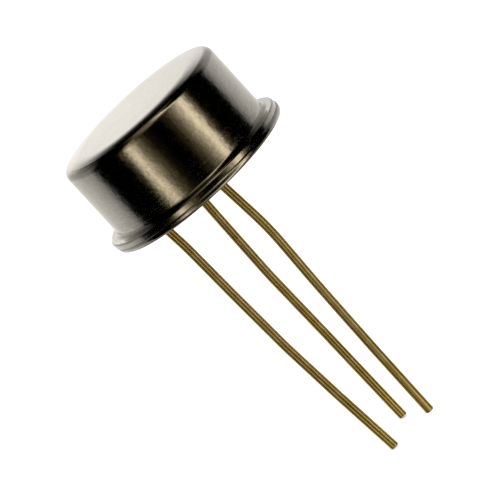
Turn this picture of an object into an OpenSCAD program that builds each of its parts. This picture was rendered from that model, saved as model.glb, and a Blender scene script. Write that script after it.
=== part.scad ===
// Three-lead voltage regulator in a low round metal can (TO-39 outline).
// Origin: centre of the seating plane, the underside of the header flange.
// +Z: out through the top of the can. The leads run down, towards -Z.
// Lead 1 is at +Y, lead 2 at -X and lead 3 at -Y. The index tab points
// between +X and +Y, next to lead 1.

/* [Can] */
// Diameter of the weld flange
flange_d = 9.14; // [8.9:0.02:9.4]
// Diameter of the can above the flange
can_d = 8.18; // [8.0:0.02:8.5]
// Height of the can's top above the seating plane
can_h = 4.25; // [4.0:0.01:4.7]
// Wall of the drawn can
can_wall = 0.25; // [0.18:0.01:0.3]
// Thickness of the can's weld flange
can_flange_t = 0.28; // [0.22:0.01:0.34]
// Outer radius of the can's top corner
can_corner = 0.36; // [0.3:0.02:0.6]
// Diameter of the flat middle of the can's top
crown_d = 5.9; // [5:0.1:6.4]
// Slope of the top, in degrees, where it runs into its corner
crown_a = 9; // [6:0.5:10]
// Radius where the can's side runs out into its flange
can_foot = 0.2; // [0.1:0.01:0.25]
// How far off centre the can is welded, towards lead 2
can_shift = 0.05; // [0:0.01:0.06]

/* [Header] */
// Thickness of the header flange
header_flange_t = 0.32; // [0.24:0.01:0.35]
// Diameter of the raised platform inside the can
platform_d = 7.4; // [7.2:0.05:7.4]
// Height of the platform above the seating plane
platform_h = 1.15; // [1:0.05:1.4]
// Wall of the stamped header
header_wall = 0.3; // [0.22:0.01:0.32]
// Width of the index tab
tab_w = 0.79; // [0.71:0.01:0.86]
// Length of the index tab beyond the flange
tab_l = 0.9; // [0.74:0.01:1.14]
// Diameter of the holes for the two insulated leads
seal_d = 1.15; // [1:0.05:1.2]
// Depth of the glass below the seating plane
glass_recess = 0.2; // [0.16:0.01:0.3]

/* [Leads] */
// Diameter of the leads
lead_d = 0.41; // [0.4:0.01:0.48]
// Diameter of the circle that the leads stand on
lead_circle = 5.08; // [4.95:0.01:5.2]
// Diameter of the flattened head on the insulated leads
head_d = 0.78; // [0.6:0.02:0.8]
// Height of those heads above the seating plane
post_h = 1.6; // [1.5:0.05:1.8]

/* [Chip] */
// Length of the chip
chip_x = 1.9; // [1.6:0.05:2.0]
// Width of the chip
chip_y = 1.7; // [1.5:0.05:1.9]
// Thickness of the chip
chip_t = 0.28; // [0.2:0.01:0.35]
// Thickness of the solder under the chip
solder_t = 0.03; // [0.02:0.01:0.05]
// Diameter of the bond wires
bond_d = 0.08; // [0.06:0.01:0.1]

/* [Hidden] */

flange_r = flange_d / 2;
can_r = can_d / 2;
can_ri = can_r - can_wall;
corner_r = can_r - can_corner;
crown_q = can_corner + (corner_r - crown_d / 2) / sin(crown_a);
corner_z = can_h - crown_q + (crown_q - can_corner) * cos(crown_a);
can_z0 = header_flange_t;
can_z1 = header_flange_t + can_flange_t;
mouth_r = 0.3;             // inner bend between the can's side and flange
rim_r = 0.09;              // upper edge of the can's flange
seam_r = 0.04;             // edges of the two flanges where they meet
base_r = 0.17;             // lower edge of the header's flange
platform_r = platform_d / 2;
cavity_r = platform_r - header_wall;
cavity_top = platform_h - header_wall;
lead_r = lead_d / 2;
lead_pos = lead_circle / 2;
seal_r = seal_d / 2;
head_t = 0.12;             // thickness of a post's flattened head
foot_l = 0.16;             // length of a bond wire's pressed foot
chip_top = platform_h + solder_t + chip_t;
tip_r = 0.05;              // rounding of the cut lead ends
weld_t = 0.1;              // upset end of the lead welded to the header
weld_r = 0.4;

// The leads as they are bent below the can, one line for each gentle bend:
// [straight run, bend angle, bend radius, compass direction of the bend].
form_1 = [[0.3, 2, 3, -135], [2.2, 1, 5, -90], [2.4, 2.2, 20, -30],
          [3.0, 0.8, 20, -130]];
form_2 = [[0.3, 5, 3, -25], [0.9, 3, 8, -170], [2.3, 1, 40, -70],
          [2.4, 2.2, 20, -35], [2.4, 1, 20, -45]];
form_3 = [[0.15, 5.5, 2, 18], [1.8, 7, 14, 150], [2, 1.9, 30, 49],
          [3, 0.9, 20, 40]];
tail_1 = 4.8;
tail_2 = 3.2;
tail_3 = 3.75;

// ---- profiles, drawn with x as the radius and y as the height ----

// A solid disc's half section, with its outer corners rounded.
module disc_profile(r, z0, z1, low, up) {
    translate([0, z0 + low]) square([r, z1 - z0 - low - up]);
    translate([0, z0]) square([r - low, z1 - z0 - up]);
    translate([0, z0 + low]) square([r - up, z1 - z0 - low]);
    if (low > 0) intersection() {
        translate([r - low, z0 + low]) circle(low, $fn = 48);
        translate([r - low, z0]) square([low, low]);
    }
    if (up > 0) translate([r - up, z1 - up]) circle(up, $fn = 48);
}

// The concave corner between a wall at radius r and a floor at height z.
module fillet_profile(r, z, q) {
    difference() {
        translate([r - 0.05, z - 0.05]) square([q + 0.05, q + 0.05]);
        translate([r + q, z + q]) circle(q, $fn = 48);
    }
}

// The flared mouth of a hole of radius r that opens downwards at height z.
module mouth_profile(r, z, q) {
    difference() {
        translate([r - 0.05, z - 0.5]) square([q + 0.05, q + 0.5]);
        translate([r + q, z + q]) circle(q, $fn = 48);
    }
}

// The can's solid form: a flat middle, a slightly falling shoulder, the
// corner's radius and the straight side.
module crown_profile() {
    c = [corner_r, corner_z];
    t = [sin(crown_a), cos(crown_a)];
    m = [crown_d / 2, can_h - crown_q];
    z = corner_z - 0.2;
    e = 0.0001;            // lets the corner's circle cross the shoulder's
    translate([0, can_z0]) square([crown_d / 2, can_h - can_z0]);
    translate([0, can_z0]) square([can_r, corner_z + e - can_z0]);
    intersection() {
        translate(m) circle(crown_q, $fn = 720);
        polygon([[m[0], z], [m[0], can_h + 1], c + 2 * t, c,
                 c - (0.2 / t[1]) * t]);
    }
    translate(c + [0, e]) circle(can_corner, $fn = 96);
}

module turn() { rotate_extrude($fn = 180) children(); }

// ---- can ----

module can() {
    color("#cfccc5")
    translate([-can_shift, 0, 0])
    turn() difference() {
        union() {
            disc_profile(flange_r, can_z0, can_z1, seam_r, rim_r);
            crown_profile();
            fillet_profile(can_r, can_z1, can_foot);
        }
        disc_profile(can_ri, -1, can_h - can_wall, 0, 0.12);
        mouth_profile(can_ri, can_z0, mouth_r);
    }
}

// ---- header ----

module cavity_profile(z0) {
    disc_profile(cavity_r, z0, cavity_top, 0, 0.12);
}

module tab() {
    rotate([0, 0, 45]) linear_extrude(header_flange_t) {
        translate([flange_r - 0.4, -tab_w / 2]) square([0.4 + tab_l - 0.12, tab_w]);
        translate([flange_r - 0.4, -tab_w / 2 + 0.12])
            square([0.4 + tab_l, tab_w - 0.24]);
        for (s = [-1, 1])
            translate([flange_r + tab_l - 0.12, s * (tab_w / 2 - 0.12)])
                circle(0.12, $fn = 48);
    }
}

module header() {
    color("#c6c3bb")
    difference() {
        union() {
            turn() {
                disc_profile(flange_r, 0, header_flange_t, base_r, seam_r);
                disc_profile(platform_r, 0, platform_h, 0, 0.2);
            }
            tab();
        }
        turn() {
            cavity_profile(-1);
            mouth_profile(cavity_r, 0, 0.08);
        }
        for (a = [90, 180]) rotate([0, 0, a]) translate([lead_pos, 0, 0])
            cylinder(h = platform_h + 1, r = seal_r, $fn = 48);
    }
}

// ---- glass ----

// Glass drawn up round a wire of radius r, hanging from the glass face.
module meniscus(r, q) {
    rotate_extrude($fn = 48) difference() {
        translate([r - 0.05, glass_recess - q]) square([q + 0.05, q + 0.05]);
        translate([r + q, glass_recess - q]) circle(q, $fn = 48);
    }
}

module header_glass() {
    color("#3c5a55")
    difference() {
        union() {
            turn() {
                cavity_profile(glass_recess);
                difference() {
                    translate([cavity_r - 0.1, glass_recess - 0.1])
                        square([0.1, 0.15]);
                    translate([cavity_r - 0.1, glass_recess - 0.1])
                        circle(0.1, $fn = 48);
                }
            }
            for (a = [90, 180]) rotate([0, 0, a]) translate([lead_pos, 0, 0.6])
                cylinder(h = platform_h - 0.6, r = seal_r, $fn = 48);
            for (a = [90, 180, 270]) rotate([0, 0, a])
                translate([lead_pos, 0, 0]) meniscus(lead_r, 0.14);
        }
        for (a = [90, 180]) rotate([0, 0, a]) translate([lead_pos, 0, -1])
            cylinder(h = 4, r = lead_r, $fn = 48);
        translate([0, -lead_pos, -1])
            cylinder(h = 1 + cavity_top - weld_t, r = lead_r, $fn = 48);
        translate([0, -lead_pos, cavity_top - weld_t])
            cylinder(h = weld_t + 1, r = weld_r, $fn = 48);
    }
}

// ---- leads and bond wires ----

// An arc of wire that starts at the origin along +Z and bends towards +X.
module wire_arc(r, bend_r, angle, fn) {
    translate([bend_r, 0, 0]) rotate([90, 0, 180])
        rotate_extrude(angle = angle, $fn = 720)
            translate([bend_r, 0]) circle(r, $fn = fn);
}

// Straight runs and arcs in turn, with children() at the end.
module wire_run(form, r, fn, i = 0) {
    if (i == len(form)) children();
    else {
        l = form[i][0];
        a = form[i][1];
        q = form[i][2];
        d = form[i][3];
        cylinder(h = l, r = r, $fn = fn);
        translate([0, 0, l]) rotate([0, 0, d]) {
            wire_arc(r, q, a, fn);
            translate([q * (1 - cos(a)), 0, q * sin(a)]) rotate([0, a, 0])
                rotate([0, 0, -d]) wire_run(form, r, fn, i + 1) children();
        }
    }
}

// The part of a lead below the seating plane, down to its cut end.
// Seen along the wire, the compass runs the other way round.
module lead_tail(form, tail) {
    rotate([180, 0, 0])
        wire_run([for (s = form) [s[0], s[1], s[2], -s[3]]], lead_r, 48)
            rotate_extrude($fn = 48) disc_profile(lead_r, 0, tail, 0, tip_r);
}

// A lead that passes through the glass and ends in a flattened head.
module sealed_lead(form, tail) {
    cylinder(h = post_h - head_t / 2, r = lead_r, $fn = 48);
    rotate_extrude($fn = 48)
        disc_profile(head_d / 2, post_h - head_t, post_h, 0.05, 0.03);
    lead_tail(form, tail);
}

module lead_1() {
    color("#b9975a") translate([0, lead_pos, 0]) sealed_lead(form_1, tail_1);
}

module lead_2() {
    color("#b9975a") translate([-lead_pos, 0, 0]) sealed_lead(form_2, tail_2);
}

// The case lead, butt welded to the underside of the header's platform.
module lead_3() {
    color("#b9975a") translate([0, -lead_pos, 0]) {
        cylinder(h = cavity_top - weld_t / 2, r = lead_r, $fn = 48);
        translate([0, 0, cavity_top - weld_t])
            cylinder(h = weld_t, r = weld_r, $fn = 48);
        lead_tail(form_3, tail_3);
    }
}

// ---- chip ----

module chip_solder() {
    color("#b8b4aa") translate([-chip_x / 2 - 0.06, -chip_y / 2 - 0.06, platform_h])
        cube([chip_x + 0.12, chip_y + 0.12, solder_t]);
}

module chip() {
    color("#56595f") translate([-chip_x / 2, -chip_y / 2, platform_h + solder_t])
        cube([chip_x, chip_y, chip_t]);
}

// A bond wire from one pressed foot to another. p and q are the points on
// the two faces where the feet end, and it leaves them at the angles up
// and down. The straight runs between the three arcs close the loop.
module bond_wire(p, q, up, down) {
    r = bond_d / 2;
    foot_t = 0.7 * bond_d;
    b = 0.12;
    c = 0.3;
    dx = norm([q[0] - p[0], q[1] - p[1]]);
    dz = q[2] - p[2];
    e = dx - (b + c) * (sin(up) + sin(down));
    f = dz - b * (1 - cos(up)) + b * (1 - cos(down)) - c * (cos(down) - cos(up));
    s1 = (e * sin(down) + f * cos(down)) / sin(up + down);
    s2 = (e * sin(up) - f * cos(up)) / sin(up + down);
    color("#d9dadc")
    translate(p) rotate([0, 0, atan2(q[1] - p[1], q[0] - p[0])]) {
        translate([-foot_l, -0.7 * bond_d, 0]) cube([foot_l, 1.4 * bond_d, foot_t]);
        translate([dx, -0.7 * bond_d, dz]) cube([foot_l, 1.4 * bond_d, foot_t]);
        translate([-foot_l / 2, 0, 1.15 * r]) rotate([0, 90, 0])
            wire_run([[foot_l / 2, up, b, 180], [s1, up + down, c, 0],
                      [s2, down, b, 180]], r, 24)
                cylinder(h = foot_l / 2, r = r, $fn = 24);
    }
}

module bond_wire_1a() {
    bond_wire([0.25, 0.45, chip_top], [0.12, lead_pos - 0.12, post_h], 55, 35);
}
module bond_wire_1b() {
    bond_wire([-0.35, 0.45, chip_top], [-0.14, lead_pos - 0.12, post_h], 55, 35);
}
module bond_wire_2() {
    bond_wire([-0.6, -0.1, chip_top], [0.1 - lead_pos, 0, post_h], 55, 35);
}
module bond_wire_case_a() {
    bond_wire([0.3, -0.5, chip_top], [0.6, -1.75, platform_h], 50, 40);
}
module bond_wire_case_b() {
    bond_wire([-0.3, -0.5, chip_top], [-0.6, -1.75, platform_h], 50, 40);
}

can();
header();
header_glass();
lead_1();
lead_2();
lead_3();
chip_solder();
chip();
bond_wire_1a();
bond_wire_1b();
bond_wire_2();
bond_wire_case_a();
bond_wire_case_b();
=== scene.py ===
import math

import bpy
import numpy as np
from mathutils import Matrix, Vector
from mathutils.geometry import delaunay_2d_cdt


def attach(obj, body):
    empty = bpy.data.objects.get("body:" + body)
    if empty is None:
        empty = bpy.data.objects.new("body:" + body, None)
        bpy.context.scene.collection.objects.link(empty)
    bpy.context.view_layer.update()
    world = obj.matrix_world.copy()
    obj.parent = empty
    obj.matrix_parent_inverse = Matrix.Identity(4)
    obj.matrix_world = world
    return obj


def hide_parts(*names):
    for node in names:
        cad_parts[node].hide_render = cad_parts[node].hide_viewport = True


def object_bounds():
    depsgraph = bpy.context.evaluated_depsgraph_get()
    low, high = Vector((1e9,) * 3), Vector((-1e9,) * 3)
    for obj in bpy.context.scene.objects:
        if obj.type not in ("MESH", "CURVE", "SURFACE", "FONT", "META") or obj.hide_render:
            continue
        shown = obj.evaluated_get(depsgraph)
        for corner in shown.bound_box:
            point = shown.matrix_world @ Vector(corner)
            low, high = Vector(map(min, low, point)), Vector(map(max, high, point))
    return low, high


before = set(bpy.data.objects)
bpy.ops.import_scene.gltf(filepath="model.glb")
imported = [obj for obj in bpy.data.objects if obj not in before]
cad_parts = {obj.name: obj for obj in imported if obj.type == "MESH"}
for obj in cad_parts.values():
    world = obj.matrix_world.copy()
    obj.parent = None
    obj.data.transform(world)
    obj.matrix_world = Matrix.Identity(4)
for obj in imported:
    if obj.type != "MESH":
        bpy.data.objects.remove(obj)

cad_lo, cad_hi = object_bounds()
MM = 0.001
scene = bpy.context.scene

# ------------------------------------------------------------------ camera

# The camera stands 338.6 mm away, 11.7 degrees above the seating plane and
# 11.4 degrees to the left of the -Y axis, and is rolled so that the leads
# run down to the right. FOCAL is in pixels at a width of 500.
TILT = math.radians(11.677)
ROLL = math.radians(47.459)
TURN = math.radians(11.4)
FOCAL = 8000.0
DIST = FOCAL / 23.629
WIDTH, HEIGHT = 500, 496
AIM = (201.196, 179.924)

RIGHT = np.array([math.cos(TURN), -math.sin(TURN), 0.0])
AWAY = np.array([math.sin(TURN), math.cos(TURN), 0.0])
UP = np.array([0.0, 0.0, 1.0])


def make_camera():
    down = -(math.sin(TILT) * AWAY + math.cos(TILT) * UP)
    forward = math.cos(TILT) * AWAY - math.sin(TILT) * UP
    c, s = math.cos(ROLL), math.sin(ROLL)
    x = s * RIGHT + c * down
    y = -c * RIGHT + s * down
    u = (AIM[0] - WIDTH / 2) / FOCAL * DIST
    v = (AIM[1] - HEIGHT / 2) / FOCAL * DIST
    place = -(u * x + v * y + DIST * forward)
    data = bpy.data.cameras.new("camera")
    data.sensor_fit = "HORIZONTAL"
    data.sensor_width = 36.0
    data.lens = FOCAL / WIDTH * 36.0
    data.clip_start, data.clip_end = 0.01, 10.0
    cam = bpy.data.objects.new("camera", data)
    scene.collection.objects.link(cam)
    m = np.eye(4)
    m[:3, 0], m[:3, 1], m[:3, 2], m[:3, 3] = x, -y, -forward, place * MM
    cam.matrix_world = Matrix([list(r) for r in m])
    scene.camera = cam


make_camera()

# ------------------------------------------------------------ mesh helpers


def arc(cr, cz, q, t0, t1, n, hollow=False):
    """Points (r, z, nr, nz) along an arc. A hollow corner faces its centre."""
    s = -1.0 if hollow else 1.0
    out = []
    for i in range(n + 1):
        t = math.radians(t0 + (t1 - t0) * i / n)
        c, w = math.cos(t), math.sin(t)
        out.append((cr + q * c, cz + q * w, s * c, s * w))
    return out


def run(r0, z0, r1, z1, nr, nz, n=1):
    return [(r0 + (r1 - r0) * i / n, z0 + (z1 - z0) * i / n, nr, nz)
            for i in range(n + 1)]


def tidy(chain):
    """Drops a point that repeats the one before it with the same normal."""
    out = [chain[0]]
    for p in chain[1:]:
        if max(abs(a - b) for a, b in zip(p, out[-1])) > 1e-6:
            out.append(p)
    return out


def make_mesh(name, verts, faces, normals, marks=None):
    """A smooth mesh with the true surface's own normals at its points."""
    verts, normals = np.asarray(verts, float), np.asarray(normals, float)
    # faces follow the normals
    tri = np.array([f[:3] for f in faces])
    a, b, c = verts[tri[:, 0]], verts[tri[:, 1]], verts[tri[:, 2]]
    side = (np.cross(b - a, c - a) * normals[tri].sum(1)).sum(1)
    turned = [f if k >= 0 else f[::-1] for f, k in zip(faces, side)]
    me = bpy.data.meshes.new(name)
    me.from_pydata((verts * MM).tolist(), [], [tuple(map(int, f)) for f in turned])
    me.update()
    me.polygons.foreach_set("use_smooth", [True] * len(me.polygons))
    if marks is not None:
        at = me.attributes.new("marks", "FLOAT_VECTOR", "POINT")
        at.data.foreach_set("vector", np.asarray(marks, float).ravel())
    me.normals_split_custom_set_from_vertices(normals.tolist())
    ob = bpy.data.objects.new(name, me)
    scene.collection.objects.link(ob)
    return ob


def turned_piece(name, chain, seg, shift=(0.0, 0.0)):
    """A closed body turned about Z from a chain that starts and ends on it."""
    chain = tidy(chain)
    ang = np.arange(seg) * 2 * math.pi / seg
    c, s = np.cos(ang), np.sin(ang)
    verts, norms, rings = [], [], []
    for r, z, nr, nz in chain:
        if r < 1e-9:
            rings.append([len(verts)])
            verts.append((shift[0], shift[1], z))
            norms.append((0, 0, nz))
        else:
            rings.append(list(range(len(verts), len(verts) + seg)))
            verts += list(zip(shift[0] + r * c, shift[1] + r * s, [z] * seg))
            norms += list(zip(nr * c, nr * s, [nz] * seg))
    return make_mesh(name, verts, join_rings(rings, chain), norms)


def join_rings(rings, chain=None):
    faces = []
    for k in range(len(rings) - 1):
        a, b = rings[k], rings[k + 1]
        if chain is not None and abs(chain[k][0] - chain[k + 1][0]) < 1e-9 \
                and abs(chain[k][1] - chain[k + 1][1]) < 1e-9:
            continue    # a sharp edge: the same ring twice, with two normals
        n = max(len(a), len(b))
        for j in range(n):
            i = (j + 1) % n
            if len(a) == 1:
                faces.append((a[0], b[j], b[i]))
            elif len(b) == 1:
                faces.append((a[j], b[0], a[i]))
            else:
                faces.append((a[j], b[j], b[i], a[i]))
    return faces


# --------------------------------------------------------------------- can

FLANGE = 4.57
CAN_R, CAN_TOP, CAN_CORNER = 4.09, 4.25, 0.36
CAN_SHIFT = (-0.05, 0.0)
DOME_FLAT, DOME_ANGLE = 2.95, 9.0

corner_r = CAN_R - CAN_CORNER
dome_q = CAN_CORNER + (corner_r - DOME_FLAT) / math.sin(math.radians(DOME_ANGLE))
corner_z = CAN_TOP - dome_q + (dome_q - CAN_CORNER) * math.cos(math.radians(DOME_ANGLE))

can_chain = (
    run(0, CAN_TOP, DOME_FLAT, CAN_TOP, 0, 1, 3)
    + arc(DOME_FLAT, CAN_TOP - dome_q, dome_q, 90, 90 - DOME_ANGLE, 12)
    + arc(corner_r, corner_z, CAN_CORNER, 90 - DOME_ANGLE, 0, 22)
    + run(CAN_R, corner_z, CAN_R, 0.80, 1, 0, 8)
    + arc(CAN_R + 0.20, 0.80, 0.20, 180, 270, 18, hollow=True)
    + run(CAN_R + 0.20, 0.60, FLANGE - 0.09, 0.60, 0, 1, 1)
    + arc(FLANGE - 0.09, 0.51, 0.09, 90, 0, 12)
    + run(FLANGE, 0.51, FLANGE, 0.32, 1, 0, 2)
    + run(FLANGE, 0.32, 4.14, 0.32, 0, -1, 1)
    + arc(4.14, 0.62, 0.30, 270, 180, 10)
    + run(3.84, 0.62, 3.84, 3.88, -1, 0, 1)
    + arc(3.72, 3.88, 0.12, 0, 90, 6, hollow=True)
    + run(3.72, 4.0, 0, 4.0, 0, -1, 1)
)
can_shell = turned_piece("can_shell", can_chain, 720, CAN_SHIFT)

# ------------------------------------------------------------------ header

TAB_HALF, TAB_END, TAB_CORNER, TAB_AT = 0.395, 5.47, 0.12, math.radians(45)
HEADER_T = 0.32


def flange_outline():
    """The flange's outline with its tab: points and outward normals."""
    pts = []
    a0 = math.asin(TAB_HALF / FLANGE)
    n = 720
    for i in range(n + 1):
        t = a0 + (2 * math.pi - 2 * a0) * i / n
        pts.append((FLANGE * math.cos(t), FLANGE * math.sin(t),
                    math.cos(t), math.sin(t)))
    x0 = FLANGE * math.cos(a0)
    x1 = TAB_END - TAB_CORNER
    for i in range(5):
        pts.append((x0 + (x1 - x0) * i / 4, -TAB_HALF, 0, -1))
    for i in range(1, 9):
        t = math.radians(-90 + 90 * i / 8)
        pts.append((x1 + TAB_CORNER * math.cos(t),
                    -TAB_HALF + TAB_CORNER + TAB_CORNER * math.sin(t),
                    math.cos(t), math.sin(t)))
    for i in range(0, 9):
        t = math.radians(90 * i / 8)
        pts.append((x1 + TAB_CORNER * math.cos(t),
                    TAB_HALF - TAB_CORNER + TAB_CORNER * math.sin(t),
                    math.cos(t), math.sin(t)))
    for i in range(1, 5):
        pts.append((x1 + (x0 - x1) * i / 4, TAB_HALF, 0, 1))
    p = np.array(pts)
    c, s = math.cos(TAB_AT), math.sin(TAB_AT)
    turn = np.array([[c, s], [-s, c]])
    return p[:, :2] @ turn, p[:, 2:] @ turn


def make_header():
    at, out = flange_outline()
    ang = np.arctan2(at[:, 1], at[:, 0])
    ray = np.stack([np.cos(ang), np.sin(ang)], 1)
    n = len(at)
    # ("ring", r) is a plain circle; ("edge", inset) and ("low", inset) follow
    # the outline, and the lower edge is less rounded on the tab
    soft = np.where(np.hypot(at[:, 0], at[:, 1]) > FLANGE + 1e-6, 0.6, 1.0)[:, None]
    chain = [("ring",) + p for p in
             run(0, 1.15, 3.5, 1.15, 0, 1, 2) + arc(3.5, 0.95, 0.2, 90, 0, 8)
             + [(3.7, HEADER_T, 1, 0), (3.7, HEADER_T, 0, 1), (4.2, HEADER_T, 0, 1)]]
    chain += [("edge", 0, HEADER_T, 0, 1), ("edge", 0, HEADER_T, 1, 0)]
    chain += [("low", 0.17 - r, z, nr, nz) for r, z, nr, nz in
              arc(0, 0.17, 0.17, 0, -90, 14)]
    chain += [("ring",) + p for p in
              [(4.2, 0, 0, -1)] + run(3.9, 0, 3.48, 0, 0, -1, 1)
              + arc(3.48, 0.08, 0.08, 270, 180, 8)
              + run(3.4, 0.08, 3.4, 0.73, -1, 0, 1)
              + arc(3.28, 0.73, 0.12, 0, 90, 6, hollow=True)
              + run(3.28, 0.85, 0, 0.85, 0, -1, 1)]
    verts, norms, rings, flat = [], [], [], []
    for kind, r, z, nr, nz in chain:
        flat.append((r if kind == "ring" else FLANGE - r, z))
        if kind == "ring" and r < 1e-9:
            rings.append([len(verts)])
            verts.append((0, 0, z))
            norms.append((0, 0, nz))
            continue
        rings.append(list(range(len(verts), len(verts) + n)))
        less = soft if kind == "low" else 1.0
        xy = ray * r if kind == "ring" else at - out * r * less
        d = ray if kind == "ring" else out
        verts += [(p[0], p[1], v) for p, v in zip(xy, (z * less * np.ones((n, 1)))[:, 0])]
        norms += [(q[0] * nr, q[1] * nr, nz) for q in d]
    faces = join_rings(rings, flat)
    ob = make_mesh("header_body", verts, faces, norms)
    # the two holes for the insulated leads, inside the can
    for k, (x, y) in enumerate(((0.0, 2.54), (-2.54, 0.0))):
        tool = turned_piece("hole_tool", [(0, 1.6, 0, 1), (0.575, 1.6, 0, 1),
                                          (0.575, 0.6, 0, -1), (0, 0.6, 0, -1)],
                            96, (x, y))
        cut = ob.modifiers.new("hole_%d" % k, "BOOLEAN")
        cut.operation, cut.solver, cut.object = "DIFFERENCE", "EXACT", tool
        deps = bpy.context.evaluated_depsgraph_get()
        me = bpy.data.meshes.new_from_object(ob.evaluated_get(deps))
        ob.modifiers.clear()
        ob.data = me
        bpy.data.objects.remove(tool)
    return ob


header_body = make_header()

# ------------------------------------------------------------------- glass

LEADS = {"lead_1": (0.0, 2.54), "lead_2": (-2.54, 0.0), "lead_3": (0.0, -2.54)}
WIRE = 0.205


def circle(cx, cy, r, n):
    return [(cx + r * math.cos(2 * math.pi * i / n),
             cy + r * math.sin(2 * math.pi * i / n)) for i in range(n)]


def glass_face(x, y):
    """Height and slope of the glass's lower face, drawn up at its edges."""
    z, gx, gy = 0.20, 0.0, 0.0
    r = math.hypot(x, y)
    if r > 3.30:
        u = min(r - 3.30, 0.0995)
        h = math.sqrt(0.01 - u * u)
        z -= 0.1 - h
        gx, gy = -u / h * x / r, -u / h * y / r
    for cx, cy in LEADS.values():
        d = math.hypot(x - cx, y - cy)
        if d < 0.345:
            u = min(0.345 - d, 0.1395)
            h = math.sqrt(0.0196 - u * u)
            z -= 0.14 - h
            gx += u / h * (x - cx) / d
            gy += u / h * (y - cy) / d
    return z, gx, gy


def filled(loops, inner):
    """Triangles over the first loop less the others, through inner points."""
    pts, edges, k = [], [], 0
    for lp in loops:
        pts += lp
        edges += [(k + i, k + (i + 1) % len(lp)) for i in range(len(lp))]
        k += len(lp)
    pts += inner
    v, e, f = delaunay_2d_cdt([Vector(p) for p in pts], edges, [], 1, 1e-7)[:3]
    holes = []
    for lp in loops[1:]:
        a = np.mean(np.array(lp), 0)
        holes.append((a[0], a[1], math.dist(a, lp[0]) * 0.999))
    keep = []
    for t in f:
        cx = sum(v[i].x for i in t) / len(t)
        cy = sum(v[i].y for i in t) / len(t)
        if all(math.hypot(cx - a, cy - b) > r * 0.985 for a, b, r in holes):
            keep.append(list(t))
    return [(p.x, p.y) for p in v], keep


def make_glass():
    verts, norms, faces = [], [], []

    def add(points, triangles, height):
        k = len(verts)
        for x, y in points:
            z, nx, ny, nz = height(x, y)
            verts.append((x, y, z))
            norms.append((nx, ny, nz))
        faces.extend([tuple(k + i for i in t) for t in triangles])

    def wall(cx, cy, seg, chain):
        k = len(verts)
        chain = tidy(chain)
        for r, z, nr, nz in chain:
            for i in range(seg):
                a = 2 * math.pi * i / seg
                verts.append((cx + r * math.cos(a), cy + r * math.sin(a), z))
                norms.append((nr * math.cos(a), nr * math.sin(a), nz))
        for j in range(len(chain) - 1):
            if chain[j][:2] == chain[j + 1][:2]:
                continue
            for i in range(seg):
                m = (i + 1) % seg
                faces.append((k + j * seg + i, k + j * seg + m,
                              k + (j + 1) * seg + m, k + (j + 1) * seg + i))

    # lower face
    inner = []
    for q in np.concatenate([3.4 - np.array([0.004, 0.015, 0.03, 0.05, 0.075, 0.1]),
                             np.arange(3.15, 0.2, -0.15)]):
        n = 288 if q > 3.2 else max(12, int(q * 40))
        inner += [p for p in circle(0, 0, q, n)
                  if all(math.dist(p, c) > 0.40 for c in LEADS.values())]
    for c in LEADS.values():
        for q in (0.208, 0.215, 0.228, 0.245, 0.265, 0.29, 0.315, 0.345, 0.38):
            inner += circle(c[0], c[1], q, 64)
    loops = [circle(0, 0, 3.4, 288)] + [circle(c[0], c[1], WIRE, 64)
                                        for c in LEADS.values()]
    pts, tris = filled(loops, inner)

    def low(x, y):
        z, gx, gy = glass_face(x, y)
        m = math.sqrt(gx * gx + gy * gy + 1)
        return z, gx / m, gy / m, -1 / m

    add(pts, tris, low)
    # outside wall and its upper corner
    wall(0, 0, 288, [(3.4, low(3.4, 0)[0], 1, 0), (3.4, 0.73, 1, 0)]
         + arc(3.28, 0.73, 0.12, 0, 90, 6))
    # upper face, inside the header
    loops = [circle(0, 0, 3.28, 288), circle(0, 2.54, 0.575, 64),
             circle(-2.54, 0, 0.575, 64), circle(0, -2.54, 0.4, 64)]
    pts, tris = filled(loops, [])
    add(pts, tris, lambda x, y: (0.85, 0, 0, 1))
    for name in ("lead_1", "lead_2"):
        x, y = LEADS[name]
        wall(x, y, 64, [(0.575, 0.85, 1, 0), (0.575, 1.15, 1, 0),
                        (0.575, 1.15, 0, 1), (WIRE, 1.15, 0, 1),
                        (WIRE, 1.15, -1, 0), (WIRE, low(x + WIRE, y)[0], -1, 0)])
    wall(0, -2.54, 64, [(0.4, 0.85, -1, 0), (0.4, 0.75, -1, 0),
                        (0.4, 0.75, 0, 1), (WIRE, 0.75, 0, 1),
                        (WIRE, 0.75, -1, 0), (WIRE, low(WIRE, -2.54)[0], -1, 0)])
    return make_mesh("seal_glass", verts, faces, norms)


seal_glass = make_glass()

# ------------------------------------------------------------------- leads

# [straight run, bend, bend radius, compass direction of the bend] in turn,
# then the last straight run: the same forms as the CAD leads.
FORMS = {
    "lead_1": ([(0.3, 2, 3, -135), (2.2, 1, 5, -90), (2.4, 2.2, 20, -30),
                (3.0, 0.8, 20, -130)], 4.8),
    "lead_2": ([(0.3, 5, 3, -25), (0.9, 3, 8, -170), (2.3, 1, 40, -70),
                (2.4, 2.2, 20, -35), (2.4, 1, 20, -45)], 3.2),
    "lead_3": ([(0.15, 5.5, 2, 18), (1.8, 7, 14, 150), (2.0, 1.9, 30, 49),
                (3.0, 0.9, 20, 40)], 3.75),
}


def rot_z(a):
    c, s = math.cos(math.radians(a)), math.sin(math.radians(a))
    return np.array([[c, -s, 0], [s, c, 0], [0, 0, 1.0]])


def rot_y(a):
    c, s = math.cos(math.radians(a)), math.sin(math.radians(a))
    return np.array([[c, 0, s], [0, 1.0, 0], [-s, 0, c]])


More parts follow.
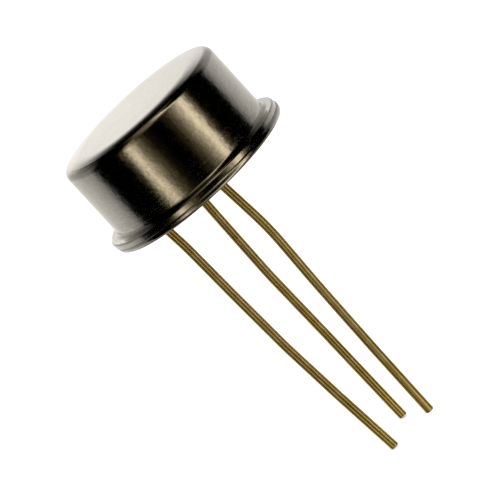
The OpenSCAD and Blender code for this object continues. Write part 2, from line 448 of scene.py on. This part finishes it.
def wire_path(x, y, form, tail):
    """Stations (centre, frame, length so far) from the seating plane down."""
    at, m = np.array([x, y, 0.0]), np.diag([1.0, -1.0, -1.0])
    out, gone = [(at, m, 0.0)], 0.0
    for run_l, bend, q, way in form:
        n = max(1, int(round(run_l / 0.3)))
        for i in range(1, n + 1):
            out.append((at + m @ [0, 0, run_l * i / n], m, gone + run_l * i / n))
        at, gone = out[-1][0], gone + run_l
        m = m @ rot_z(-way)
        n = max(4, int(round(bend * 2)))
        for i in range(1, n + 1):
            t = bend * i / n
            c, s = math.cos(math.radians(t)), math.sin(math.radians(t))
            out.append((at + m @ [q * (1 - c), 0, q * s],
                        m @ rot_y(t) @ rot_z(way), gone + q * math.radians(t)))
        at, m = out[-1][0], out[-1][1]
        gone = out[-1][2]
    n = max(1, int(round(tail / 0.3)))
    for i in range(1, n + 1):
        out.append((at + m @ [0, 0, tail * i / n], m, gone + tail * i / n))
    return out


def make_lead(name, top):
    form, tail = FORMS[name]
    x, y = LEADS[name]
    seg = 72
    a = np.arange(seg) * 2 * math.pi / seg
    verts, norms, rings, marks, flat = [], [], [], [], []

    def ring(at, m, r, nr, nd, s):
        """A ring of radius r; nd is the normal's share along the wire."""
        if r < 1e-9:
            rings.append([len(verts)])
            verts.append(tuple(at))
            norms.append(tuple(m @ [0, 0, nd]))
            marks.append((0, 0, s))
        else:
            rings.append(list(range(len(verts), len(verts) + seg)))
            loc = np.stack([np.cos(a), np.sin(a), 0 * a], 1)
            verts.extend((at + (loc * r) @ m.T).tolist())
            norms.extend((np.stack([nr * np.cos(a), nr * np.sin(a), 0 * a + nd], 1)
                          @ m.T).tolist())
            marks.extend([(r * math.cos(t), r * math.sin(t), s) for t in a])
        flat.append((r, s))

    up = np.diag([1.0, -1.0, -1.0])
    for r, z, nr, nz in top:
        ring(np.array([x, y, z]), up, r, nr, -nz, -z)
    path = wire_path(x, y, form, tail)
    tip = 0.05
    for at, m, s in path[:-1]:
        ring(at, m, WIRE, 1, 0, s)
    end, m, s = path[-1]
    for i in range(7):
        t = math.radians(90 * i / 6)
        ring(end - m @ [0, 0, tip * (1 - math.sin(t))], m,
             WIRE - tip * (1 - math.cos(t)), math.cos(t), math.sin(t),
             s - tip * (1 - math.sin(t)))
    ring(end, m, WIRE * 0.4, 0, 1, s + 1e-6)
    ring(end, m, 0, 0, 1, s + 2e-6)
    return make_mesh(name + "_wire", verts, join_rings(rings, flat), norms, marks)


POST = (run(0, 1.6, 0.36, 1.6, 0, 1, 1) + arc(0.36, 1.57, 0.03, 90, 0, 3)
        + arc(0.34, 1.53, 0.05, 0, -90, 4)
        + [(WIRE, 1.48, 0, -1), (WIRE, 1.48, 1, 0)])
WELD = [(0, 0.85, 0, 1), (0.4, 0.85, 0, 1), (0.4, 0.85, 1, 0), (0.4, 0.75, 1, 0),
        (0.4, 0.75, 0, -1), (WIRE, 0.75, 0, -1), (WIRE, 0.75, 1, 0)]
wires = {n: make_lead(n, WELD if n == "lead_3" else POST) for n in FORMS}

# --------------------------------------------------------------- materials


class Net:
    """Shorthand for building a node tree out of sums and ranges."""

    def __init__(self, tree):
        self.t = tree

    def node(self, kind, **props):
        n = self.t.nodes.new(kind)
        for k, v in props.items():
            setattr(n, k, v)
        return n

    def put(self, socket, value):
        if isinstance(value, bpy.types.NodeSocket):
            self.t.links.new(value, socket)
        elif value is not None:
            socket.default_value = value

    def math(self, op, a, b=None, c=None, clamp=False):
        n = self.node("ShaderNodeMath", operation=op, use_clamp=clamp)
        for s, v in zip(n.inputs, (a, b, c)):
            self.put(s, v)
        return n.outputs[0]

    def step(self, x, lo, hi, a=0.0, b=1.0):
        n = self.node("ShaderNodeMapRange", interpolation_type="SMOOTHSTEP")
        for s, v in zip(n.inputs, (x, lo, hi, a, b)):
            self.put(s, v)
        return n.outputs[0]

    def span(self, x, lo, hi, a, b):
        n = self.node("ShaderNodeMapRange")
        for s, v in zip(n.inputs, (x, lo, hi, a, b)):
            self.put(s, v)
        return n.outputs[0]

    def mix(self, f, a, b, mode="MIX"):
        n = self.node("ShaderNodeMix", data_type="RGBA", blend_type=mode)
        self.put(n.inputs[0], f)
        self.put(n.inputs[6], a if isinstance(a, bpy.types.NodeSocket) else (*a, 1.0))
        self.put(n.inputs[7], b if isinstance(b, bpy.types.NodeSocket) else (*b, 1.0))
        return n.outputs[2]

    def vec(self, x, y, z):
        n = self.node("ShaderNodeCombineXYZ")
        for s, v in zip(n.inputs, (x, y, z)):
            self.put(s, v)
        return n.outputs[0]

    def parts(self, v):
        n = self.node("ShaderNodeSeparateXYZ")
        self.put(n.inputs[0], v)
        return n.outputs

    def noise(self, v, scale, detail=2.0, rough=0.5):
        n = self.node("ShaderNodeTexNoise")
        self.put(n.inputs["Vector"], v)
        n.inputs["Scale"].default_value = scale
        n.inputs["Detail"].default_value = detail
        n.inputs["Roughness"].default_value = rough
        return n.outputs["Fac"]

    def bump(self, height, distance, strength=1.0, normal=None):
        n = self.node("ShaderNodeBump")
        n.inputs["Strength"].default_value = strength
        n.inputs["Distance"].default_value = distance
        self.put(n.inputs["Height"], height)
        if normal is not None:
            self.put(n.inputs["Normal"], normal)
        return n.outputs[0]


def material(name):
    m = bpy.data.materials.new(name)
    m.use_nodes = True
    m.node_tree.nodes.clear()
    net = Net(m.node_tree)
    out = net.node("ShaderNodeOutputMaterial")
    return m, net, out


def surface(net, out, colour, metal, rough, normal=None):
    b = net.node("ShaderNodeBsdfPrincipled")
    net.put(b.inputs["Base Color"],
            colour if isinstance(colour, bpy.types.NodeSocket) else (*colour, 1.0))
    net.put(b.inputs["Metallic"], metal)
    net.put(b.inputs["Roughness"], rough)
    if normal is not None:
        net.put(b.inputs["Normal"], normal)
    net.t.links.new(b.outputs[0], out.inputs["Surface"])
    return b


def object_mm(net):
    """The object's own coordinates in mm."""
    tc = net.node("ShaderNodeTexCoord")
    n = net.node("ShaderNodeVectorMath", operation="SCALE")
    net.put(n.inputs[0], tc.outputs["Object"])
    n.inputs["Scale"].default_value = 1000.0
    return n.outputs[0]


def nickel(name, worn):
    """Satin nickel, turned: fine marks run round the axis."""
    m, net, out = material(name)
    p = object_mm(net)
    x, y, z = net.parts(p)
    r = net.math("SQRT", net.math("ADD", net.math("MULTIPLY", x, x),
                                  net.math("MULTIPLY", y, y)))
    along = net.math("ADD", r, z)
    # fine marks round the axis, broken up along their length
    lines = net.noise(net.vec(net.math("MULTIPLY", x, 1.6), net.math("MULTIPLY", y, 1.6),
                              net.math("MULTIPLY", along, 11.0)), 1.0, 2.0, 0.5)
    wave = net.noise(p, 1.3, 2.0, 0.5)
    speck = net.noise(p, 7.0, 2.0, 0.65)
    side = net.step(r, 3.6, 4.05)
    foot = net.math("MULTIPLY", side, net.step(z, 1.0, 2.1, 1.0, 0.0))
    rough = net.math("ADD", net.span(lines, 0.3, 0.7, 0.09, 0.12),
                     net.math("MULTIPLY", foot, net.step(lines, 0.45, 0.62, 0.0, 0.05)))
    rough = net.math("ADD", rough, net.math("MULTIPLY", side,
                                            net.step(speck, 0.5, 0.72, 0.0, 0.06)))
    tint = net.mix(net.step(wave, 0.3, 0.7), (0.66, 0.62, 0.55), (0.69, 0.65, 0.58))
    tint = net.mix(net.step(speck, 0.32, 0.68, 0.0, 0.2), tint, (0.36, 0.33, 0.28))
    tint = net.mix(net.math("MULTIPLY", foot, net.step(lines, 0.38, 0.6, 0.22, 0.0)),
                   tint, (0.25, 0.23, 0.19))
    h1 = net.math("MULTIPLY", wave, net.span(side, 0, 1, 0.25, 1.0))
    h2 = net.math("MULTIPLY", lines, net.span(foot, 0, 1, 0.6, 3.4))
    n1 = net.bump(h1, 0.000012, 1.0)
    n2 = net.bump(h2, 0.0000012, 1.0, n1)
    n3 = net.bump(net.math("MULTIPLY", speck, net.span(side, 0, 1, 0.15, 1.0)),
                  0.0000034, 1.0, n2)
    # painted shade: a near-black line in the corner between side and flange, heaviest on the
    # side that faces the camera
    ring = net.math("MULTIPLY", net.step(r, 4.125, 4.165),
                    net.math("MULTIPLY", net.step(z, 0.585, 0.598),
                             net.step(z, 0.645, 0.675, 1.0, 0.0)))
    ring = net.math("MULTIPLY", ring, net.step(r, 4.47, 4.50, 1.0, 0.0))
    way = net.math("DIVIDE", net.math("ADD", net.math("MULTIPLY", x, math.sin(TURN)),
                                      net.math("MULTIPLY", y, math.cos(TURN))), r)
    # painted shade is strongest where the corner faces the camera
    painted_crevice_shade = net.step(net.math("ADD", way, net.math("MULTIPLY", wave, 0.1)), -0.86, -0.70,
                     0.95, 0.25)
    tint = net.mix(net.math("MULTIPLY", ring, painted_crevice_shade), tint, (0.01, 0.01, 0.01))
    # the joint between the two flanges
    joint = net.math("MULTIPLY", net.step(r, 4.50, 4.55),
                     net.step(net.math("ABSOLUTE", net.math("SUBTRACT", z, 0.32)),
                              0.006, 0.02, 0.35, 0.0))
    tint = net.mix(joint, tint, (0.05, 0.045, 0.04))
    surface(net, out, tint, 1.0, rough, n3)
    return m


def gold_wire(name, wire_shade_amount):
    """Gold over drawn wire: fine marks run along it."""
    m, net, out = material(name)
    at = net.node("ShaderNodeAttribute", attribute_name="marks")
    u, v, s = net.parts(at.outputs["Vector"])
    lines = net.noise(net.vec(net.math("MULTIPLY", u, 7.0), net.math("MULTIPLY", v, 7.0),
                              net.math("MULTIPLY", s, 0.2)), 1.0, 2.0, 0.5)
    blot = net.noise(net.vec(net.math("MULTIPLY", u, 3.0), net.math("MULTIPLY", v, 3.0),
                             net.math("MULTIPLY", s, 1.6)), 1.0, 3.0, 0.6)
    speck = net.noise(at.outputs["Vector"], 9.0, 2.0, 0.6)
    tint = net.mix(net.step(blot, 0.3, 0.7), (0.62, 0.45, 0.12), (0.78, 0.60, 0.25))
    tint = net.mix(net.step(lines, 0.35, 0.65), net.mix(0.42, tint, (0.30, 0.15, 0.02)), tint)
    # painted shade: each wire darkened by its own amount
    tint = net.mix(wire_shade_amount, tint, (0.20, 0.14, 0.04))
    # the plating is yellower towards the cut end
    tint = net.mix(net.step(s, 10.5, 13.8, 0.0, 0.55), tint, (0.92, 0.70, 0.18))
    rough = net.span(lines, 0.3, 0.7, 0.22, 0.32)
    n1 = net.bump(lines, 0.0000032, 1.0)
    n2 = net.bump(speck, 0.0000006, 1.0, n1)
    surface(net, out, tint, 0.94, rough, n2)
    return m


def glass_material():
    m, net, out = material("seal_glass")
    p = object_mm(net)
    cloud = net.noise(p, 1.4, 3.0, 0.6)
    tint = net.mix(net.step(cloud, 0.3, 0.7), (0.012, 0.022, 0.020), (0.030, 0.045, 0.040))
    bub = net.node("ShaderNodeTexVoronoi")
    net.put(bub.inputs["Vector"], p)
    bub.inputs["Scale"].default_value = 5.0
    spot = net.step(bub.outputs["Distance"], 0.05, 0.11, 1.0, 0.0)
    tint = net.mix(net.math("MULTIPLY", spot, 0.6), tint, (0.16, 0.19, 0.17))
    n1 = net.bump(cloud, 0.00001, 1.0)
    surface(net, out, tint, 0.0, net.span(cloud, 0.3, 0.7, 0.06, 0.12), n1)
    return m


def chip_material():
    m, net, out = material("chip_silicon")
    p = object_mm(net)
    x, y, z = net.parts(p)
    top = net.step(z, 1.44, 1.455)
    brick = net.node("ShaderNodeTexBrick")
    net.put(brick.inputs["Vector"], net.vec(net.math("ADD", x, 0.03), y, 0.0))
    brick.inputs["Scale"].default_value = 4.0
    brick.inputs["Mortar Size"].default_value = 0.03
    brick.inputs["Color1"].default_value = (0.16, 0.15, 0.19, 1)
    brick.inputs["Color2"].default_value = (0.10, 0.12, 0.15, 1)
    brick.inputs["Mortar"].default_value = (0.72, 0.73, 0.74, 1)
    saw = net.noise(net.vec(x, y, net.math("MULTIPLY", z, 30.0)), 8.0, 2.0, 0.5)
    side = net.mix(saw, (0.16, 0.16, 0.17), (0.24, 0.24, 0.25))
    tint = net.mix(top, side, brick.outputs["Color"])
    surface(net, out, tint, 0.55, net.span(top, 0, 1, 0.45, 0.2),
            net.bump(saw, 0.000003, 1.0))
    return m


def solder_material():
    m, net, out = material("chip_solder")
    p = object_mm(net)
    n = net.noise(p, 9.0, 4.0, 0.6)
    tint = net.mix(n, (0.46, 0.45, 0.43), (0.62, 0.61, 0.58))
    surface(net, out, tint, 1.0, net.span(n, 0.3, 0.7, 0.25, 0.5),
            net.bump(n, 0.00002, 1.0))
    return m


def aluminium_material():
    m, net, out = material("bond_aluminium")
    p = object_mm(net)
    n = net.noise(p, 30.0, 3.0, 0.6)
    tint = net.mix(n, (0.78, 0.79, 0.80), (0.90, 0.91, 0.92))
    surface(net, out, tint, 1.0, net.span(n, 0.3, 0.7, 0.2, 0.38),
            net.bump(n, 0.000003, 1.0))
    return m


def dress(ob, mat):
    ob.data.materials.clear()
    ob.data.materials.append(mat)
    for p in ob.data.polygons:
        p.material_index = 0


can_mat, header_mat = nickel("can_nickel", 1.0), nickel("header_nickel", 0.6)
PAINTED_WIRE_SHADE = {"lead_1": 0.0, "lead_2": 0.02, "lead_3": 0.08}    # painted shade on each wire: darker on the wires that catch more of the lamps
dress(can_shell, can_mat)
dress(header_body, header_mat)
dress(seal_glass, glass_material())
for k, w in wires.items():
    dress(w, gold_wire("gold_" + k, PAINTED_WIRE_SHADE[k]))


def redress(node, mat):
    """A new material in the slots of a CAD node that stays."""
    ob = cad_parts[node]
    for s in ob.material_slots:
        s.material = mat


redress("chip", chip_material())
redress("chip_solder", solder_material())
bond_mat = aluminium_material()
for n in ("bond_wire_1a", "bond_wire_1b", "bond_wire_2", "bond_wire_case_a",
          "bond_wire_case_b"):
    redress(n, bond_mat)

for piece, node, slot in ((can_shell, "can", "can_nickel"),
                          (header_body, "header", "header_nickel"),
                          (seal_glass, "header_glass", "seal_glass"),
                          (wires["lead_1"], "lead_1", "lead_gold"),
                          (wires["lead_2"], "lead_2", "lead_gold"),
                          (wires["lead_3"], "lead_3", "lead_gold")):
    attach(piece, "root")
    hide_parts(node)

# ------------------------------------------------------------------- stage

# A white floor under the tips of the leads, and even white light all round.
FLOOR_Z = float(cad_lo[2]) / MM - 0.02


def make_floor():
    me = bpy.data.meshes.new("floor")
    h = 3.0
    me.from_pydata([(-h, -h, FLOOR_Z * MM), (h, -h, FLOOR_Z * MM),
                    (h, h, FLOOR_Z * MM), (-h, h, FLOOR_Z * MM)], [], [(0, 1, 2, 3)])
    ob = bpy.data.objects.new("floor", me)
    scene.collection.objects.link(ob)
    m, net, out = material("floor_white")
    shade = net.node("ShaderNodeBsdfDiffuse")
    shade.inputs["Color"].default_value = (0.93, 0.93, 0.93, 1)
    glow = net.node("ShaderNodeEmission")
    glow.inputs["Strength"].default_value = 0.35
    lit = net.node("ShaderNodeAddShader")
    net.t.links.new(shade.outputs[0], lit.inputs[0])
    net.t.links.new(glow.outputs[0], lit.inputs[1])
    m.cycles.emission_sampling = "NONE"
    clear = net.node("ShaderNodeBsdfTransparent")
    geo = net.node("ShaderNodeNewGeometry")
    mix = net.node("ShaderNodeMixShader")
    net.put(mix.inputs[0], geo.outputs["Backfacing"])
    net.t.links.new(lit.outputs[0], mix.inputs[1])
    net.t.links.new(clear.outputs[0], mix.inputs[2])
    net.t.links.new(mix.outputs[0], out.inputs["Surface"])
    dress(ob, m)
    ob.visible_glossy = False


make_floor()

world = bpy.data.worlds.new("world")
scene.world = world
world.use_nodes = True
bg = world.node_tree.nodes.get("Background")
if bg is None:
    bg = world.node_tree.nodes.new("ShaderNodeBackground")
    wo = world.node_tree.nodes.new("ShaderNodeOutputWorld")
    world.node_tree.links.new(bg.outputs[0], wo.inputs[0])
bg.inputs["Color"].default_value = (1, 1, 1, 1)
bg.inputs["Strength"].default_value = 1.2
world.cycles_visibility.glossy = False
scene.view_settings.view_transform = "Standard"
scene.view_settings.look = "None"
scene.view_settings.exposure = 0.0
scene.view_settings.gamma = 1.0

# What the bright metal mirrors: a tent with a white back and sides, two warm
# lamps in front that meet overhead, and black between them.


def make_tent():
    bpy.ops.mesh.primitive_uv_sphere_add(segments=64, ring_count=32, radius=TENT_R * MM,
                                         location=(0, 0, 0))
    ob = bpy.context.object
    ob.name = ob.data.name = "light_tent"
    m, net, out = material("light_tent")
    geo = net.node("ShaderNodeNewGeometry")
    unit = net.node("ShaderNodeVectorMath", operation="NORMALIZE")
    net.put(unit.inputs[0], geo.outputs["Position"])

    def dot(v):
        n = net.node("ShaderNodeVectorMath", operation="DOT_PRODUCT")
        net.put(n.inputs[0], unit.outputs[0])
        n.inputs[1].default_value = [float(a) for a in v]
        return n.outputs["Value"]

    def curve(x, lo, hi, stops):
        """A gradient over x, from stops (x, value)."""
        n = net.node("ShaderNodeValToRGB")
        els = n.color_ramp.elements
        while len(els) < len(stops):
            els.new(0.5)
        for e, (a, v) in zip(els, stops):
            e.position, e.color = (a - lo) / (hi - lo), (v, v, v, 1)
        net.put(n.inputs[0], net.span(x, lo, hi, 0.0, 1.0))
        return n.outputs[0]

    def mul(*a):
        return a[0] if len(a) == 1 else net.math("MULTIPLY", a[0], mul(*a[1:]))

    def add(*a):
        return a[0] if len(a) == 1 else net.math("ADD", a[0], add(*a[1:]))

    def scaled(rgb, f):
        n = net.node("ShaderNodeVectorMath", operation="SCALE")
        n.inputs[0].default_value = rgb
        net.put(n.inputs["Scale"], f)
        return n.outputs[0]

    az = mul(net.math("ARCTAN2", dot(RIGHT), dot(-AWAY)), 180 / math.pi)
    el = mul(net.math("ARCSINE", dot(UP)), 180 / math.pi)
    turn = net.math("ABSOLUTE", add(az, -3.5))

    # the white back and sides, in degrees round from the front and up
    white = curve(turn, 80, 180, ((89, 0.0), (92.5, 0.02), (96, 0.15), (100, 0.26), (105, 0.38),
                                  (112, 0.50), (121, 0.60), (131, 0.70), (151, 0.84),
                                  (170, 0.95), (178, 1.14)))
    back = net.step(turn, 150, 174)
    fade = curve(el, -30, 60, ((-12, 1.0), (-2, 0.74), (12, 0.56), (30, 0.46)))
    fade = add(fade, mul(back, net.math("SUBTRACT", 1.0, fade)))
    limit = curve(turn, 80, 180, ((92, 0.10), (102, 0.62), (114, 0.74), (154, 0.74),
                                  (165, 0.56), (172, 0.42), (178, 0.40)))
    over = net.math("SUBTRACT", el, mul(limit, 50.0))
    soft = net.step(turn, 158, 172, 15.0, 8.0)
    white = mul(white, fade, net.step(net.math("DIVIDE", over, soft), -1.0, 1.0, 1.0, 0.0))
    # the two warm lamps in front, which fade upwards
    left = curve(az, -70, 10, ((-52, 0.0), (-46, 0.09), (-41, 0.68), (-36, 1.25),
                               (-31, 0.78), (-26, 0.34), (-20, 0.12), (-11, 0.01),
                               (0, 0.0)))
    left = mul(left, curve(el, -40, 90, ((-12, 1.0), (8, 0.6), (26, 0.42), (45, 0.16),
                                         (64, 0.05), (80, 0.0))))
    lean = add(az, net.step(el, 22, 56, 0.0, 21.0))
    right = curve(lean, 0, 70, ((12, 0.0), (20, 0.03), (27, 0.15), (33, 0.38),
                                (39, 0.80), (44, 1.50), (49, 1.2), (53, 0.25),
                                (58, 0.04), (63, 0.0)))
    right = mul(right, curve(el, -40, 90, ((-15, 1.15), (-9, 0.9), (26, 0.7), (47, 0.75),
                                           (68, 0.5), (84, 0.1), (90, 0.0))))
    # what the lower edges mirror, which replaces the rest below the level
    down = net.step(el, -42, -24, 1.0, 0.0)
    keep = net.math("SUBTRACT", 1.0, down)
    below = mul(down, curve(az, -150, 150, (
        (-134, 0.12), (-115, 0.30), (-105, 0.31), (-95, 0.10), (-84, 0.0), (-73, 0.0),
        (-62, 0.013), (-50, 0.05), (-38, 0.10), (-25, 0.13), (-13, 0.20), (0, 0.36),
        (13, 0.36), (25, 0.87), (38, 0.84), (50, 0.42), (62, 0.05), (73, 0.0),
        (84, 0.025), (95, 0.13), (105, 0.27), (115, 0.35), (134, 0.12))))
    over_front = mul(net.step(dot(-AWAY), -0.30, 0.05),
                     net.step(net.math("ABSOLUTE", dot(RIGHT)), 0.08, 0.38, 1.0, 0.0),
                     curve(el, 0, 90, ((20, 0.0), (40, 0.14), (66, 0.20), (90, 0.12))))
    warm = add(mul(add(left, right), keep), over_front)
    colour = net.mix(1.0, scaled((1.0, 0.99, 0.97), mul(white, keep)),
                     scaled((0.86, 0.77, 0.59), warm), "ADD")
    colour = net.mix(1.0, colour, scaled((1.0, 0.94, 0.80), below), "ADD")
    # dim warm light is browner than bright
    dim = net.math("MINIMUM", warm, 0.07)
    colour = net.mix(1.0, colour, scaled((0.0, 0.09, 0.26), dim), "SUBTRACT")
    em = net.node("ShaderNodeEmission")
    net.put(em.inputs["Color"], colour)
    em.inputs["Strength"].default_value = 1.0
    net.t.links.new(em.outputs[0], out.inputs["Surface"])
    m.cycles.emission_sampling = "NONE"
    dress(ob, m)
    ob.visible_camera = False
    ob.visible_diffuse = False
    ob.visible_transmission = False
    ob.visible_volume_scatter = False
    ob.visible_shadow = False


TENT_R = 60.0
make_tent()
